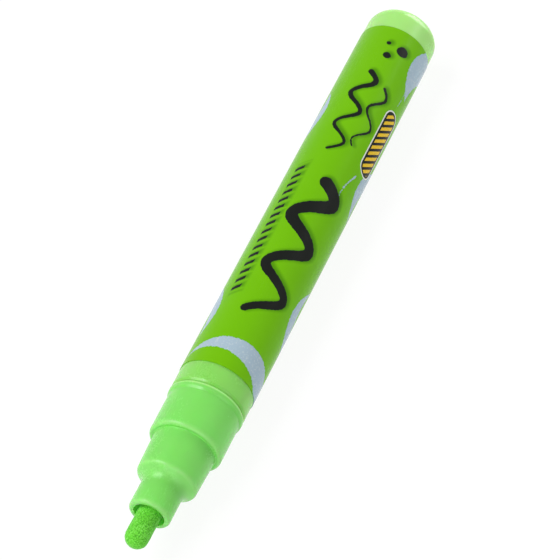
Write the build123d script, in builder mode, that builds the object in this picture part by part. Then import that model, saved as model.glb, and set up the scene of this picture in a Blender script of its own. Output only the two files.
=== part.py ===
"""Liquid chalk marker with a spring valve, uncapped and lying on its side.

Millimetres, +Z up, nib towards -X. The origin lies on the resting surface under the
middle of the marker's length. Every piece is turned about one axis along X.
"""

import os
from math import cos, pi, sin, sqrt

from build123d import *

os.makedirs("parts", exist_ok=True)

# Barrel: one tube, closed and rounded at the rear
barrel_diameter = 14.76
barrel_wall = 1.0
barrel_length = 102.4
rear_wall = 1.4
rear_round = 3.2
well_bevel = 1.8
seam_bevel = 0.15
bore_lead = 0.3

# Label film around the barrel
label_thickness = 0.10
glue_layer = 0.02
label_rear_margin = 7.0
label_front_margin = 4.6

# Nose section, outside, from the barrel towards the nib
bead_rise = 0.07
bead_length = 1.4
bead_crest = 0.45
bead_bevel = 0.2
collar_step = 0.35
collar_length = 8.65
collar_bevel = 0.4
middle_step = 1.0
middle_taper = 0.28
middle_length = 7.9
middle_root_bevel = 0.2
shoulder_length = 0.8
shoulder_bevel = 0.3
nozzle_length = 6.9
nozzle_root_bevel = 1.0
nozzle_wall = 1.0
rim_bevel = 0.4
mouth_bevel = 0.15

# Nose section, inside, with its spigot in the barrel
middle_wall = 1.42
spigot_length = 7.5
spigot_wall = 1.1
spigot_fit = 0.05
spigot_lead = 0.5
snap_inset = 3.0
snap_width = 1.4
snap_height = 0.25
snap_fit = 0.05

# Nib and the ribs that guide it
nib_diameter = 4.4
nib_reach = 7.05
nib_running_gap = 0.05
mouth_gap = 0.8
rib_count = 6
rib_width = 0.9
rib_inset = 1.6

# Valve: packing, stem, cage and spring
press_travel = 1.5
stop_gap = 0.1
packing_depth = 6.7
packing_thickness = 1.6
packing_fit = 0.05
packing_hole_share = 0.655
lip_width = 0.5
lip_height = 0.25
seat_gap = 0.05
cup_wall = 0.6
cup_depth = 1.6
nib_fit = 0.02
disc_thickness = 1.0
stem_diameter = 2.4
head_thickness = 1.2
head_bevel = 0.3
tail_running_gap = 0.08
cage_length = 11.0
cage_end_wall = 1.2
cage_share = 0.803
cage_wall = 0.9
cage_fit = 0.03
flange_length = 2.2
head_room = 0.4
port_width = 1.6
port_length = 4.6
port_inset = 0.8
ridge_height = 0.2
ridge_length = 0.6
ridge_gap = 0.05
wire_diameter = 0.4
wire_sides = 6
spring_turns = 5
spring_gap = 0.05

# Mixing ball
ball_diameter = 5.0
ball_gap = 0.1

# One overrun serves all cuts
overrun = 1.0

# Radii that follow from the sizes above
barrel_radius = barrel_diameter / 2
bore_radius = barrel_radius - barrel_wall
label_inner_radius = barrel_radius + glue_layer
label_radius = label_inner_radius + label_thickness
bead_radius = barrel_radius + bead_rise
collar_radius = bead_radius - collar_step
middle_rear_radius = collar_radius - middle_step
middle_front_radius = middle_rear_radius - middle_taper
nib_radius = nib_diameter / 2
mouth_radius = nib_radius + mouth_gap
nozzle_radius = mouth_radius + nozzle_wall
chamber_radius = middle_front_radius - middle_wall
spigot_radius = bore_radius - spigot_fit
seat_radius = spigot_radius - spigot_wall
snap_radius = spigot_radius + snap_height
stem_radius = stem_diameter / 2
cage_radius = seat_radius * cage_share
cage_bore_radius = cage_radius - cage_wall
head_radius = cage_bore_radius - head_room
hole_radius = head_radius * packing_hole_share
cup_bore_radius = nib_radius + nib_fit
cup_radius = cup_bore_radius + cup_wall
wire_radius = wire_diameter / 2
coil_radius = (stem_radius + cage_bore_radius) / 2
ball_radius = ball_diameter / 2

# Places along the axis, from the rear to the nib's tip
nose_length = bead_length + collar_length + middle_length + shoulder_length + nozzle_length
overall_length = barrel_length + nose_length + nib_reach
axis_z = label_radius
rear_x = overall_length / 2
seam_x = rear_x - barrel_length
bead_front_x = seam_x - bead_length
collar_front_x = bead_front_x - collar_length
middle_front_x = collar_front_x - middle_length
nozzle_root_x = middle_front_x - shoulder_length
mouth_x = nozzle_root_x - nozzle_length
tip_x = mouth_x - nib_reach
well_rear_x = rear_x - rear_wall
spigot_rear_x = seam_x + spigot_length
chamber_front_x = middle_front_x + chamber_radius - mouth_radius
packing_front_x = seam_x - packing_depth
packing_rear_x = packing_front_x + packing_thickness
lip_x = packing_rear_x + lip_height
disc_rear_x = packing_front_x - press_travel - stop_gap
disc_front_x = disc_rear_x - disc_thickness
cup_front_x = disc_front_x - cup_depth
head_front_x = lip_x + seat_gap
head_rear_x = head_front_x + head_thickness
flange_rear_x = packing_rear_x + flange_length
cage_rear_x = packing_rear_x + cage_length
cage_floor_x = cage_rear_x - cage_end_wall

axis_plane = Plane(origin=(0, 0, axis_z), x_dir=(1, 0, 0), z_dir=(0, -1, 0))
marker_axis = Axis((0, 0, axis_z), (1, 0, 0))


def cross_plane(x: float) -> Plane:
    """Plane across the marker at x, with its normal towards the rear."""
    return Plane(origin=(x, 0, axis_z), x_dir=(0, 1, 0), z_dir=(1, 0, 0))


def bevel_corners(profile: BuildSketch, bevels: dict) -> None:
    """Chamfer the profile's corner at each point by the length given for it."""
    for point, length in bevels.items():
        chamfer(profile.vertices().sort_by_distance(point)[0], length)


# Barrel, with the groove that the nose section snaps into
groove_front_x = seam_x + snap_inset - snap_fit
groove_rear_x = groove_front_x + snap_width + snap_fit + snap_fit
groove_radius = snap_radius + spigot_fit
groove_slope = groove_radius - bore_radius
rear_corner = (rear_x, barrel_radius)
well_corner = (well_rear_x, bore_radius)
seam_corner = (seam_x, barrel_radius)

with BuildPart() as barrel:
    with BuildSketch(axis_plane) as barrel_profile:
        with BuildLine():
            Polyline(
                (rear_x, 0),
                rear_corner,
                seam_corner,
                (seam_x, bore_radius + bore_lead),
                (seam_x + bore_lead, bore_radius),
                (groove_front_x, bore_radius),
                (groove_front_x + groove_slope, groove_radius),
                (groove_rear_x - groove_slope, groove_radius),
                (groove_rear_x, bore_radius),
                well_corner,
                (well_rear_x, 0),
                close=True,
            )
        make_face()
        fillet(barrel_profile.vertices().sort_by_distance(rear_corner)[0], rear_round)
        bevel_corners(barrel_profile, {well_corner: well_bevel, seam_corner: seam_bevel})
    revolve(axis=marker_axis)
barrel.part.label = "barrel"
export_step(barrel.part, "parts/barrel.step")

# Label film, glued on the barrel between its two margins
with BuildPart() as label_sleeve:
    with BuildSketch(axis_plane):
        with BuildLine():
            Polyline(
                (rear_x - label_rear_margin, label_inner_radius),
                (rear_x - label_rear_margin, label_radius),
                (seam_x + label_front_margin, label_radius),
                (seam_x + label_front_margin, label_inner_radius),
                close=True,
            )
        make_face()
    revolve(axis=marker_axis)
label_sleeve.part.label = "label_sleeve"
export_step(label_sleeve.part, "parts/label_sleeve.step")

# Nose section: bead, collar, middle, shoulder and nozzle outside, valve seat and spigot inside
rim_corner = (mouth_x, nozzle_radius)
mouth_corner = (mouth_x, mouth_radius)
nozzle_root = (nozzle_root_x, nozzle_radius)
shoulder_corner = (middle_front_x, middle_front_radius)
middle_root = (collar_front_x, middle_rear_radius)
collar_corner = (collar_front_x, collar_radius)
bead_crest_front = (seam_x - bead_crest, bead_radius)
bead_rear_corner = (seam_x, bead_radius)
snap_front_x = seam_x + snap_inset
snap_rear_x = snap_front_x + snap_width
ridge_front_x = flange_rear_x + ridge_gap
ridge_rear_x = ridge_front_x + ridge_length

with BuildPart() as nose_section:
    with BuildSketch(axis_plane) as nose_profile:
        with BuildLine():
            Polyline(
                mouth_corner,
                rim_corner,
                nozzle_root,
                shoulder_corner,
                middle_root,
                collar_corner,
                (bead_front_x, collar_radius),
                bead_crest_front,
                bead_rear_corner,
                (seam_x, spigot_radius),
                (snap_front_x, spigot_radius),
                (snap_front_x + snap_height, snap_radius),
                (snap_rear_x - snap_height, snap_radius),
                (snap_rear_x, spigot_radius),
                (spigot_rear_x - spigot_lead, spigot_radius),
                (spigot_rear_x, spigot_radius - spigot_lead),
                (spigot_rear_x, seat_radius),
                (ridge_rear_x, seat_radius),
                (ridge_front_x, seat_radius - ridge_height),
                (ridge_front_x, seat_radius),
                (packing_front_x, seat_radius),
                (packing_front_x, chamber_radius),
                (chamber_front_x, chamber_radius),
                (middle_front_x, mouth_radius),
                close=True,
            )
        make_face()
        bevel_corners(
            nose_profile,
            {
                mouth_corner: mouth_bevel,
                rim_corner: rim_bevel,
                nozzle_root: nozzle_root_bevel,
                shoulder_corner: shoulder_bevel,
                middle_root: middle_root_bevel,
                collar_corner: collar_bevel,
                bead_rear_corner: bead_bevel,
            },
        )
    revolve(axis=marker_axis)
    # Ribs along the nozzle's bore hold the nib on the axis and leave channels for the ink
    rib_inner_radius = nib_radius + nib_running_gap
    rib_outer_radius = mouth_radius + nozzle_wall / 2
    with BuildSketch(cross_plane(mouth_x + rib_inset)):
        with PolarLocations((rib_inner_radius + rib_outer_radius) / 2, rib_count):
            Rectangle(rib_outer_radius - rib_inner_radius, rib_width)
    extrude(amount=middle_front_x - mouth_x - rib_inset)
nose_section.part.label = "nose_section"
export_step(nose_section.part, "parts/nose_section.step")

# Nib: a fibre rod with a round writing end, cut square where it sits in the stem's cup
with BuildPart() as nib:
    with BuildSketch(axis_plane):
        with BuildLine():
            CenterArc((tip_x + nib_radius, 0), nib_radius, start_angle=180, arc_size=-90)
            Polyline(
                (tip_x + nib_radius, nib_radius),
                (disc_front_x, nib_radius),
                (disc_front_x, 0),
                (tip_x, 0),
            )
        make_face()
    revolve(axis=marker_axis)
nib.part.label = "nib"
export_step(nib.part, "parts/nib.step")

# Valve packing: a rubber ring in the nose section's seat, with a sealing lip towards the rear
lip_inner = (lip_x, hole_radius)
lip_outer = (lip_x, hole_radius + lip_width)

with BuildPart() as valve_packing:
    with BuildSketch(axis_plane) as packing_profile:
        with BuildLine():
            Polyline(
                (packing_front_x, hole_radius),
                lip_inner,
                lip_outer,
                (packing_rear_x, hole_radius + lip_width + lip_height),
                (packing_rear_x, seat_radius - packing_fit),
                (packing_front_x, seat_radius - packing_fit),
                close=True,
            )
        make_face()
    revolve(axis=marker_axis)
valve_packing.part.label = "valve_packing"
export_step(valve_packing.part, "parts/valve_packing.step")

# Valve stem: cup for the nib, stop disc, shaft, valve head and guide tail
head_rear_corner = (head_rear_x, head_radius)

with BuildPart() as valve_stem:
    with BuildSketch(axis_plane) as stem_profile:
        with BuildLine():
            Polyline(
                (disc_front_x, 0),
                (disc_front_x, cup_bore_radius),
                (cup_front_x, cup_bore_radius),
                (cup_front_x, cup_radius),
                (disc_rear_x, cup_radius),
                (disc_rear_x, stem_radius),
                (head_front_x, stem_radius),
                (head_front_x, head_radius),
                head_rear_corner,
                (head_rear_x, stem_radius),
                (cage_rear_x, stem_radius),
                (cage_rear_x, 0),
                close=True,
            )
        make_face()
        bevel_corners(stem_profile, {head_rear_corner: head_bevel})
    revolve(axis=marker_axis)
valve_stem.part.label = "valve_stem"
export_step(valve_stem.part, "parts/valve_stem.step")

# Valve cage: flange on the packing, tube with ink ports, end wall with the tail's guide hole
port_middle_x = flange_rear_x + port_inset + port_length / 2
port_directions = ((0, 0, 1), (0, 1, 0))

with BuildPart() as valve_cage:
    with BuildSketch(axis_plane):
        with BuildLine():
            Polyline(
                (packing_rear_x, cage_bore_radius),
                (packing_rear_x, seat_radius - cage_fit),
                (flange_rear_x, seat_radius - cage_fit),
                (flange_rear_x, cage_radius),
                (cage_rear_x, cage_radius),
                (cage_rear_x, stem_radius + tail_running_gap),
                (cage_floor_x, stem_radius + tail_running_gap),
                (cage_floor_x, cage_bore_radius),
                close=True,
            )
        make_face()
    revolve(axis=marker_axis)
    for direction in port_directions:
        port_plane = Plane(origin=(port_middle_x, 0, axis_z), x_dir=(1, 0, 0), z_dir=direction)
        with BuildSketch(port_plane):
            SlotOverall(port_length, port_width)
        extrude(amount=cage_radius + overrun, both=True, mode=Mode.SUBTRACT)
valve_cage.part.label = "valve_cage"
export_step(valve_cage.part, "parts/valve_cage.step")

# Valve spring: a helix around the tail, each half turn drawn as two arcs that share a tangent
spring_front_x = head_rear_x + spring_gap + wire_radius
spring_rear_x = cage_floor_x - spring_gap - wire_radius
spring_pitch = (spring_rear_x - spring_front_x) / spring_turns
halves_per_turn = 2
gap_samples_per_turn = 24


def helix_point(turns: float) -> Vector:
    """Point on the helix after so many turns."""
    angle = 2 * pi * turns
    x = spring_front_x + spring_pitch * turns
    return Vector(x, coil_radius * cos(angle), axis_z + coil_radius * sin(angle))


def helix_tangent(turns: float) -> Vector:
    """Unit direction of the helix after so many turns."""
    angle = 2 * pi * turns
    around = 2 * pi * coil_radius
    return Vector(spring_pitch, -around * sin(angle), around * cos(angle)).normalized()


def biarc_reach(chord: Vector, start: Vector, end: Vector) -> float:
    """Tangent length of the biarc that spans chord between two unit directions."""
    both = start + end
    bend = 2 * 2 - both.dot(both)
    along = chord.dot(both)
    return (sqrt(along * along + bend * chord.dot(chord)) - along) / bend


with BuildPart() as valve_spring:
    with BuildLine() as spring_path:
        for half in range(spring_turns * halves_per_turn):
            first = half / halves_per_turn
            last = (half + 1) / halves_per_turn
            start_point, end_point = helix_point(first), helix_point(last)
            start_way, end_way = helix_tangent(first), helix_tangent(last)
            reach = biarc_reach(end_point - start_point, start_way, end_way)
            start_knee = start_point + start_way * reach
            end_knee = end_point - end_way * reach
            joint_point = (start_knee + end_knee) / 2
            TangentArc(start_point, joint_point, tangent=start_way)
            TangentArc(joint_point, end_point, tangent=end_knee - start_knee)
    with BuildSketch(Plane(origin=helix_point(0), z_dir=helix_tangent(0))):
        RegularPolygon(wire_radius, wire_sides)
    sweep()
valve_spring.part.label = "valve_spring"
export_step(valve_spring.part, "parts/valve_spring.step")

sample_count = spring_turns * gap_samples_per_turn
samples = [spring_path.line @ (step / sample_count) for step in range(sample_count + 1)]
half_turn = gap_samples_per_turn // 2
least_gap = min(
    (samples[later] - samples[earlier]).length - wire_diameter
    for earlier in range(sample_count)
    for later in range(earlier + half_turn, sample_count + 1)
)
print("valve_spring least gap to itself, mm:", round(least_gap, 3))

# Mixing ball, lying in the barrel against the spigot
with BuildPart() as mixing_ball:
    ball_x = spigot_rear_x + ball_gap + ball_radius
    ball_z = axis_z - bore_radius + ball_gap + ball_radius
    with Locations((ball_x, 0, ball_z)):
        Sphere(ball_radius)
mixing_ball.part.label = "mixing_ball"
export_step(mixing_ball.part, "parts/mixing_ball.step")
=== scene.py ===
"""Dressed model of an uncapped liquid chalk marker that lies on its side.

The marker's axis runs along X, with the nib towards -X and +Z up. The classes hold their sizes in
millimetres, and the meshes are in metres, in the frame of the marker's solids.
"""

import logging
import math
from dataclasses import dataclass, replace
from enum import Enum
from functools import cached_property, reduce

import bpy
import numpy as np
from mathutils import Matrix, Vector


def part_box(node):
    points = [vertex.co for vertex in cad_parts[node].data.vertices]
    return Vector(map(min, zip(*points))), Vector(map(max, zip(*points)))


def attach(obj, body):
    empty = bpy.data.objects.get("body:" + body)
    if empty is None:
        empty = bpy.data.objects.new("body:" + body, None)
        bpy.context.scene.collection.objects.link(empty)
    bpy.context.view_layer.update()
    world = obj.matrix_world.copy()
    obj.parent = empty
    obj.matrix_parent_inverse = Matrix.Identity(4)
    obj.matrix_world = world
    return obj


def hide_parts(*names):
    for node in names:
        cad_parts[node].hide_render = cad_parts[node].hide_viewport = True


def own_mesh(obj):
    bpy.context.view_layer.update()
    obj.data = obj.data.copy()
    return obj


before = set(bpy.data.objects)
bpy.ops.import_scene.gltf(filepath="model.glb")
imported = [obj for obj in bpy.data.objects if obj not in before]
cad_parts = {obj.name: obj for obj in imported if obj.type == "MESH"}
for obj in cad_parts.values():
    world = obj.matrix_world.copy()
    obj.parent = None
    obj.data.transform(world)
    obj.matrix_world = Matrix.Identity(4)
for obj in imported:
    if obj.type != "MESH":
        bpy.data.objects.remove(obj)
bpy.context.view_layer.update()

LOG = logging.getLogger("marker")
MM = 0.001
AROUND = 256
SUPPORT = 0.03
FADE = 0.45
FADE_SHARE = 0.45
ALMOST_ONE = 1 - 1e-9
NOUGHT = 1e-12
ON_AXIS = 1e-6
CLOSE = 0.01
BEND = "bend"
SHARP_ANGLE = math.radians(38.0)

Colour = tuple[float, float, float, float]
Row = tuple[float, ...]
Tree = bpy.types.NodeTree
Socket = bpy.types.NodeSocket
Node = bpy.types.Node


class Body(Enum):
    """Bodies of the marker that pieces ride on."""

    BARREL = "barrel"
    NIB = "nib"
    BALL = "mixing_ball"


class Kind(Enum):
    """Kinds of socket on a node group."""

    VALUE = "NodeSocketFloat"
    COLOUR = "NodeSocketColor"
    VECTOR = "NodeSocketVector"


def srgb(red: float, green: float, blue: float) -> Colour:
    """Turn a colour in steps of 0 to 255 into linear light.

    Args:
        red: Red step.
        green: Green step.
        blue: Blue step.

    Returns:
        The linear colour with full alpha.
    """
    steps = np.array([red, green, blue], float) / 255.0
    linear = np.where(steps <= 0.04045, steps / 12.92, ((steps + 0.055) / 1.055) ** 2.4)
    return (*linear.tolist(), 1.0)


# Surfaces


@dataclass(frozen=True)
class Surface:
    """A mesh as arrays: points in millimetres, faces as rows of point numbers, and how they bend.

    The bend is 1 on a full outer round, -1 in a full inner one and 0 on plain faces.
    """

    points: np.ndarray
    quads: np.ndarray
    fans: np.ndarray | None = None
    bend: np.ndarray | None = None

    def mesh(self, name: str) -> bpy.types.Mesh:
        """Make a smooth mesh in metres, with its hard corners kept sharp.

        Args:
            name: Name of the mesh.

        Returns:
            The new mesh.
        """
        data = bpy.data.meshes.new(name)
        fans = [] if self.fans is None else self.fans.tolist()
        data.from_pydata((self.points * MM).tolist(), [], self.quads.tolist() + fans)
        data.shade_smooth()
        data.set_sharp_from_angle(angle=SHARP_ANGLE)
        if self.bend is not None:
            layer = data.attributes.new(BEND, "FLOAT", "POINT")
            layer.data.foreach_set("value", self.bend.astype(np.float32))
        return data


def unit(vectors: np.ndarray) -> np.ndarray:
    """Scale each row to length one."""
    return vectors / np.maximum(np.linalg.norm(vectors, axis=-1, keepdims=True), NOUGHT)


def signed_area(profile: np.ndarray) -> float:
    """Twice the signed area of an outline: the sum of x_i r_(i+1) - x_(i+1) r_i."""
    ahead = np.roll(profile, -1, axis=0)
    return np.sum(profile[:, 0] * ahead[:, 1] - ahead[:, 0] * profile[:, 1])


def rounded_profile(corners: list[Row], steps: int = 9) -> np.ndarray:
    """Turn a chain of corners into a profile with true rounds.

    A corner is (x, r, round), or (x, r) for one that stays a sharp point. With unit directions a and b
    from the corner to its neighbours and h half the angle between them, the round touches both edges
    at round / tan(h) from the corner, and its centre lies at round / sin(h) on the bisector. The arc
    runs from one foot to the other by spherical interpolation about that centre. Two points beyond
    each foot keep the normals of the long faces beside an arc and end its fade. The bend of a point at
    the share s of an arc is (1 + sin(pi s)) / 2 times the arc's share of a right angle, negative where
    the corner turns against the outline, and it fades out on the faces beside the arc.

    Args:
        corners: Corners in order, as a closed loop or as a chain between two points on the axis.
        steps: Points on each arc.

    Returns:
        The profile as rows of (x, r, bend).
    """
    table = np.array([(*corner, 0.0)[:3] for corner in corners])
    place, radius = table[:, :2], table[:, 2:]
    back = unit(np.roll(place, 1, axis=0) - place)
    ahead = unit(np.roll(place, -1, axis=0) - place)
    cosine = np.clip((back * ahead).sum(axis=1, keepdims=True), -ALMOST_ONE, ALMOST_ONE)
    half = np.arccos(cosine) / 2
    foot = radius / np.tan(half)
    centre = place + unit(back + ahead) * radius / np.sin(half)
    swing = (np.pi - 2 * half)[:, None, :]
    share = np.linspace(0.0, 1.0, steps)[None, :, None]
    start = (place + back * foot - centre)[:, None, :]
    end = (place + ahead * foot - centre)[:, None, :]
    turned = np.sin((1 - share) * swing) * start + np.sin(share * swing) * end
    arc = centre[:, None, :] + turned / np.sin(swing)
    gap = np.linalg.norm(np.roll(place, 1, axis=0) - place, axis=1, keepdims=True)
    free = np.maximum(FADE_SHARE * (gap - foot - np.roll(foot, 1, axis=0)), SUPPORT)
    first = (place + back * (foot + SUPPORT))[:, None, :]
    last = (place + ahead * (foot + SUPPORT))[:, None, :]
    before = (place + back * (foot + np.minimum(free, FADE)))[:, None, :]
    after = (place + ahead * (foot + np.minimum(np.roll(free, -1, axis=0), FADE)))[:, None, :]
    rows = np.concatenate([before, first, arc, last, after], axis=1)
    rows = np.where(radius[:, None, :] > 0, rows, place[:, None, :])
    side = np.sign(back[:, :1] * ahead[:, 1:] - back[:, 1:] * ahead[:, :1]) * -np.sign(signed_area(place))
    full = np.clip((np.pi - 2 * half) / (np.pi / 2), 0.0, 1.0) * side * (radius > 0)
    swell = np.pad(np.sin(np.pi * share[:, :, 0]), ((0, 0), (1, 1))) / 2 + 0.5
    bend = full * np.pad(swell, ((0, 0), (1, 1)))
    keep = (radius > 0) | (np.arange(steps + 4)[None, :] == 0)
    return np.concatenate([rows, bend[:, :, None]], axis=2)[keep]


def outward(profile: np.ndarray) -> np.ndarray:
    """Order a profile so that its surface faces outwards, which a positive signed area does."""
    return profile if signed_area(profile) > 0 else profile[::-1]


def ring_quads(rows: int, columns: int, closed: bool) -> np.ndarray:
    """Number the faces of a grid whose columns close on themselves.

    Args:
        rows: Rings in the grid.
        columns: Points on each ring.
        closed: Whether the last ring joins the first.

    Returns:
        Rows of four point numbers.
    """
    row = np.arange(rows if closed else rows - 1)[:, None]
    column = np.arange(columns)[None, :]
    near, far = row * columns, (row + 1) % rows * columns
    beside = (column + 1) % columns
    corners = np.broadcast_arrays(near + column, far + column, far + beside, near + beside)
    return np.stack(corners, axis=-1).reshape(-1, 4)


def capped(grid: np.ndarray, ends: np.ndarray, bend: np.ndarray | None = None) -> Surface:
    """Close a grid of rings with a fan around a pole at each end.

    Args:
        grid: Points by ring and column.
        ends: The first and the last pole.
        bend: Bend of the grid's points.

    Returns:
        The closed surface.
    """
    rows, columns = grid.shape[:2]
    number = np.arange(columns)
    beside = (number + 1) % columns
    last = (rows - 1) * columns
    pole = np.full(columns, rows * columns)
    front = np.stack([pole, number, beside], axis=1)
    back = np.stack([last + number, pole + 1, last + beside], axis=1)
    points = np.concatenate([grid.reshape(-1, 3), ends])
    bend = None if bend is None else np.pad(bend, (0, 2))
    return Surface(points, ring_quads(rows, columns, False), np.concatenate([front, back]), bend)


def angles(columns: int) -> np.ndarray:
    """Even angles around the axis, as one row."""
    return np.linspace(0.0, 2 * np.pi, columns, endpoint=False)[None, :]


def lathe(
    profile: np.ndarray, height: float, relief: np.ndarray | float = 0.0, columns: int = AROUND
) -> Surface:
    """Carry a profile around the marker's axis.

    The point at row i and turn t is (x_i, r cos t, height + r sin t), with r = r_i + relief.
    A profile that starts and ends on the axis gets one pole at each end, and any other profile is a
    closed loop, so the surface is always closed.

    Args:
        profile: Rows of (x, r), or of (x, r, bend).
        height: Height of the axis.
        relief: Change of the radius by ring, without the poles, and by column.
        columns: Points around the axis.

    Returns:
        The turned surface.
    """
    rows = outward(profile)
    poles = bool(rows[0, 1] < ON_AXIS and rows[-1, 1] < ON_AXIS)
    rings = rows[1:-1] if poles else rows
    turn = angles(columns)
    along = np.broadcast_to(rings[:, :1], (len(rings), columns))
    radius = rings[:, 1:2] + relief
    bend = np.repeat(rings[:, 2], columns) if rings.shape[1] > 2 else None
    grid = np.stack([along, radius * np.cos(turn), height + radius * np.sin(turn)], axis=-1)
    if poles:
        return capped(grid, np.array([[x, 0.0, height] for x in rows[[0, -1], 0]]), bend)
    return Surface(grid.reshape(-1, 3), ring_quads(len(rings), columns, True), bend=bend)


def step(value: np.ndarray, start: float, end: float) -> np.ndarray:
    """Rise smoothly from 0 at start to 1 at end, as 3 s^2 - 2 s^3 of the share s between them."""
    share = np.clip((value - start) / (end - start), 0.0, 1.0)
    return share * share * (3 - 2 * share)


# Node trees


@dataclass(frozen=True)
class Field:
    """A value that varies over a surface. Arithmetic on it adds Math nodes to its tree."""

    tree: Tree
    socket: Socket

    def _with(self, operation: str, *others: "Field | float") -> "Field":
        """Add one Math node that takes this value first.

        Args:
            operation: Blender's name of the operation.
            others: The further values.

        Returns:
            The node's result.
        """
        node = self.tree.nodes.new("ShaderNodeMath")
        node.operation = operation
        for socket, value in zip(node.inputs, (self, *others)):
            feed(self.tree, socket, value)
        return Field(self.tree, node.outputs[0])

    def __add__(self, other: "Field | float") -> "Field":
        """Add."""
        return self._with("ADD", other)

    def __sub__(self, other: "Field | float") -> "Field":
        """Subtract."""
        return self._with("SUBTRACT", other)

    def __mul__(self, other: "Field | float") -> "Field":
        """Multiply."""
        return self._with("MULTIPLY", other)

    def __truediv__(self, other: "Field | float") -> "Field":
        """Divide."""
        return self._with("DIVIDE", other)

    def __neg__(self) -> "Field":
        """Turn the sign."""
        return self._with("MULTIPLY", -1.0)

    def flipped(self) -> "Field":
        """One minus the value."""
        return self._with("MULTIPLY_ADD", -1.0, 1.0)

    def size(self) -> "Field":
        """The value without its sign."""
        return self._with("ABSOLUTE")

    def sine(self) -> "Field":
        """Sine of an angle in radians."""
        return self._with("SINE")

    def cosine(self) -> "Field":
        """Cosine of an angle in radians."""
        return self._with("COSINE")

    def inverse(self) -> "Field":
        """One over the value."""
        return self._with("POWER", -1.0)

    def fraction(self) -> "Field":
        """What is left above the next lower whole number."""
        return self._with("FRACT")

    def turn_from(self, other: "Field") -> "Field":
        """Angle whose tangent is this value over another one."""
        return self._with("ARCTAN2", other)

    def length(self, other: "Field") -> "Field":
        """Length of the line whose two legs are this value and another one."""
        return (self * self + other * other)._with("SQRT")

    def least(self, other: "Field | float") -> "Field":
        """The smaller of two values."""
        return self._with("MINIMUM", other)

    def most(self, other: "Field | float") -> "Field":
        """The larger of two values."""
        return self._with("MAXIMUM", other)

    def ramp(self, start: "Field | float", end: "Field | float") -> "Field":
        """Rise smoothly from 0 at start to 1 at end.

        Args:
            start: Value that gives 0.
            end: Value that gives 1.

        Returns:
            The clamped share.
        """
        node = self.tree.nodes.new("ShaderNodeMapRange")
        node.interpolation_type = "SMOOTHSTEP"
        for name, value in (("Value", self), ("From Min", start), ("From Max", end)):
            feed(self.tree, node.inputs[name], value)
        return Field(self.tree, node.outputs["Result"])

    def band(self, start: float, peak: float, end: float) -> "Field":
        """Rise smoothly from 0 at start to 1 at the peak, and fall to 0 at end."""
        return self.ramp(start, peak) * self.ramp(end, peak)


Source = Field | Socket | float | tuple


def feed(tree: Tree, socket: Socket, value: Source) -> None:
    """Link a socket to another one, or set its own value.

    Args:
        tree: Tree that holds the socket.
        socket: Input to feed.
        value: A field, a socket or a plain value.
    """
    source = value.socket if isinstance(value, Field) else value
    if isinstance(source, Socket):
        tree.links.new(source, socket)
    else:
        socket.default_value = source


class Desk:
    """Short calls that add nodes to one tree. Inputs have underscores for the blanks in their names."""

    def __init__(self, tree: Tree) -> None:
        """Take a tree to work on."""
        self.tree = tree

    def node(self, kind: str, group: Tree | None = None, **inputs: Source) -> Node:
        """Add a node and feed its inputs.

        Args:
            kind: Blender's name of the node, without its first word.
            group: Tree of a group node.
            inputs: Values for its inputs.

        Returns:
            The new node.
        """
        node = self.tree.nodes.new("ShaderNode" + kind)
        if group is not None:
            node.node_tree = group
        for name, value in inputs.items():
            feed(self.tree, node.inputs[name.replace("_", " ")], value)
        return node

    def field(self, socket: Socket) -> Field:
        """Take a socket's value as a field."""
        return Field(self.tree, socket)

    def fields(self, group: Tree, **inputs: Source) -> list[Field]:
        """Place a node group, feed its inputs and take all its outputs as fields."""
        return [self.field(socket) for socket in self.node("Group", group, **inputs).outputs]

    def noise(self, position: Source, size: Source, detail: float) -> Field:
        """Add a cloud of noise.

        Args:
            position: Position in metres.
            size: Features on one metre.
            detail: Number of finer layers.

        Returns:
            Noise around one half.
        """
        node = self.node("TexNoise", Vector=position, Scale=size, Detail=detail, Roughness=0.55)
        return self.field(node.outputs[0])

    def mix(self, share: Source, first: Source, second: Source) -> Socket:
        """Mix two colours. A colour mix has its inputs at numbers 0, 6 and 7, and its output at 2.

        Args:
            share: Share of the second colour.
            first: Colour at a share of 0.
            second: Colour at a share of 1.

        Returns:
            The mixed colour.
        """
        node = self.tree.nodes.new("ShaderNodeMix")
        node.data_type = "RGBA"
        for number, value in ((0, share), (6, first), (7, second)):
            feed(self.tree, node.inputs[number], value)
        return node.outputs[2]


KINDS = {
    "Position": Kind.VECTOR,
    **dict.fromkeys(("Ground", "Edge", "Ink", "Shadow", "Colour"), Kind.COLOUR),
}


class GroupDesk(Desk):
    """A new node group with named inputs and outputs, plain values unless KINDS has another kind."""

    def __init__(self, name: str, inputs: str, outputs: str) -> None:
        """Make the group and its sockets.

        Args:
            name: Name of the group.
            inputs: Names of its inputs, with commas between them.
            outputs: Names of its outputs, likewise.
        """
        super().__init__(bpy.data.node_groups.new(name, "ShaderNodeTree"))
        for way, labels in (("INPUT", inputs), ("OUTPUT", outputs)):
            for label in labels.split(", "):
                kind = KINDS.get(label, Kind.VALUE)
                self.tree.interface.new_socket(name=label, in_out=way, socket_type=kind.value)
        self.way_in = self.tree.nodes.new("NodeGroupInput")
        self.way_out = self.tree.nodes.new("NodeGroupOutput")

    def given(self) -> list[Field]:
        """The values of all inputs, in order, without the empty socket behind them."""
        return [self.field(socket) for socket in self.way_in.outputs[:-1]]

    def give(self, **results: Source) -> Tree:
        """Feed the outputs.

        Args:
            results: Values of the outputs.

        Returns:
            The group's tree.
        """
        for name, value in results.items():
            feed(self.tree, self.way_out.inputs[name], value)
        return self.tree


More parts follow.
